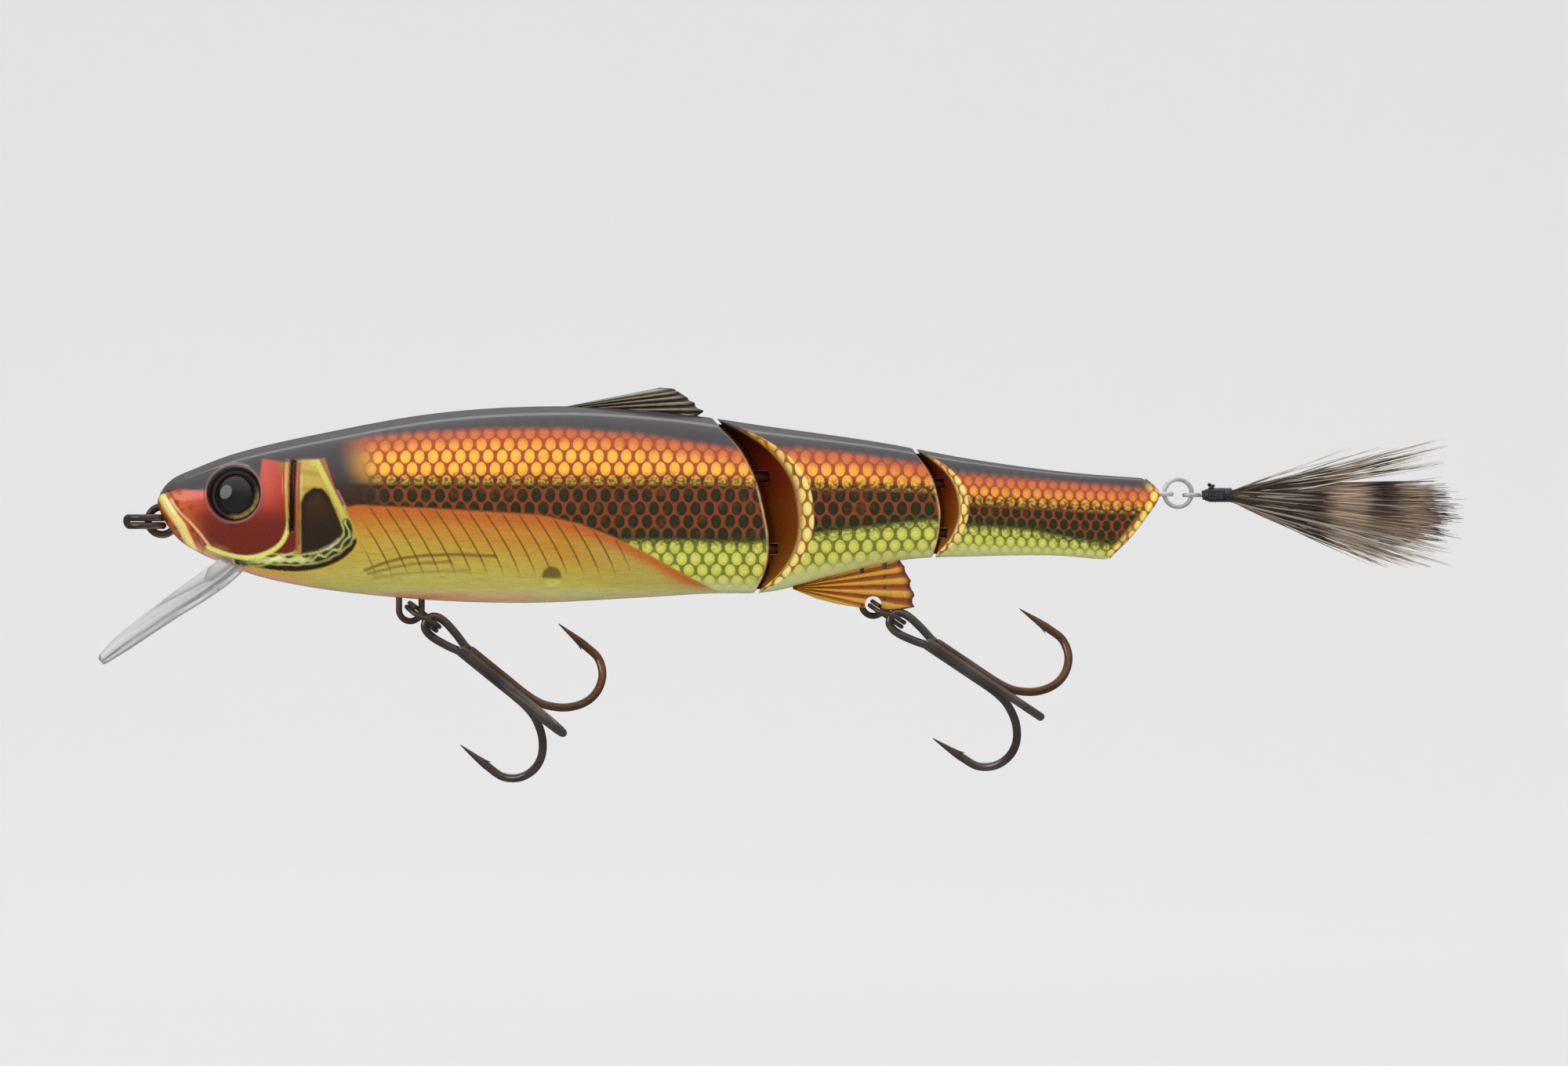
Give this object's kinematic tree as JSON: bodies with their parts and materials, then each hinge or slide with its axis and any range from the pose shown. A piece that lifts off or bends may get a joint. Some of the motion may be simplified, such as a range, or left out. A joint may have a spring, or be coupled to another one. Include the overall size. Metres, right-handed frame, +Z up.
{
  "type": "fishing lure",
  "caption": "Jointed hard-bodied fishing lure: hinged shell sections on upright pins, clear diving lip, treble hooks on split rings and a feathered tail.",
  "frame": {"origin": "centre of the line-tie wire loop in the nose", "axes": "+X from the nose to the tail, +Y to the fish's right side, +Z up through the back"},
  "size_m": [0.1557, 0.0179, 0.0448],
  "materials": {
    "shell_foil": "gold foil scales under clear gloss, charcoal back, yellow-green belly",
    "fin_dark": "dark smoked translucent plastic",
    "fin_amber": "amber translucent plastic",
    "eye_disc": "dark foil disc",
    "eye_lens": "glossy black dome",
    "clear_lip": "clear polycarbonate",
    "hanger_wire": "drawn steel wire",
    "steel_pin": "drawn steel",
    "ballast": "plain turned",
    "black_nickel": "black nickel plate",
    "bright_ring": "bright plated wire",
    "hook_steel": "black nickel plate",
    "black_thread": "lacquered thread",
    "hackle": "barred feather"
  },
  "bodies": {
    "front_body": {"front_shell_left": "shell_foil", "front_shell_right": "shell_foil", "dorsal_fin": "fin_dark", "eye_disc_left": "eye_disc", "eye_disc_right": "eye_disc", "eye_lens_left": "eye_lens", "eye_lens_right": "eye_lens", "diving_lip": "clear_lip", "line_tie": "hanger_wire", "belly_hanger": "hanger_wire", "front_joint_eyes": "hanger_wire", "belly_weight": "ballast"},
    "mid_body": {"mid_shell_left": "shell_foil", "mid_shell_right": "shell_foil", "anal_fin": "fin_amber", "rear_hanger": "hanger_wire", "rear_joint_eyes": "hanger_wire", "hinge_pin_front": "steel_pin"},
    "tail_body": {"tail_shell_left": "shell_foil", "tail_shell_right": "shell_foil", "tail_eye": "hanger_wire", "hinge_pin_rear": "steel_pin"},
    "nose_ring": {"nose_ring": "black_nickel"},
    "front_hook_ring": {"front_hook_ring": "black_nickel"},
    "front_treble": {"front_treble_double": "hook_steel", "front_treble_single": "hook_steel"},
    "rear_hook_ring": {"rear_hook_ring": "black_nickel"},
    "rear_treble": {"rear_treble_double": "hook_steel", "rear_treble_single": "hook_steel"},
    "tail_ring": {"tail_ring": "bright_ring"},
    "feather": {"feather_shank": "bright_ring", "thread_wrap": "black_thread", "feather_hackle": "hackle"}
  },
  "joints": [
    {"name": "mid_swing", "type": "hinge", "parent": "front_body", "child": "mid_body", "pos_m": [0.0718, 0, 0.0015], "axis": [0, 0, 1], "range_deg": [-28, 28]},
    {"name": "tail_swing", "type": "hinge", "parent": "mid_body", "child": "tail_body", "pos_m": [0.0909, 0, 0.0015], "axis": [0, 0, 1], "range_deg": [-25, 25]},
    {"name": "nose_ring_swing", "type": "hinge", "parent": "front_body", "child": "nose_ring", "pos_m": [0, 0, 0], "axis": [0, 1, 0], "range_deg": [-45, 45]},
    {"name": "front_ring_swing", "type": "hinge", "parent": "front_body", "child": "front_hook_ring", "pos_m": [0.02785, 0, -0.00952], "axis": [0, 1, 0], "range_deg": [-4, 100]},
    {"name": "front_treble_swing", "type": "hinge", "parent": "front_hook_ring", "child": "front_treble", "pos_m": [0.02954, 0, -0.01089], "axis": [0.6293, 0, 0.7771], "range_deg": [-40, 40]},
    {"name": "rear_ring_swing", "type": "hinge", "parent": "mid_body", "child": "rear_hook_ring", "pos_m": [0.08025, 0, -0.00936], "axis": [0, 1, 0], "range_deg": [0, 100]},
    {"name": "rear_treble_swing", "type": "hinge", "parent": "rear_hook_ring", "child": "rear_treble", "pos_m": [0.08205, 0, -0.01057], "axis": [0.5563, 0, 0.831], "range_deg": [-40, 40]},
    {"name": "tail_ring_swing", "type": "hinge", "parent": "tail_body", "child": "tail_ring", "pos_m": [0.1133, 0, 0.003], "axis": [0, 0, 1], "range_deg": [-50, 50]},
    {"name": "feather_swing", "type": "hinge", "parent": "tail_ring", "child": "feather", "pos_m": [0.115, 0, 0.0031], "axis": [0, 1, 0], "range_deg": [-40, 40]}
  ]
}
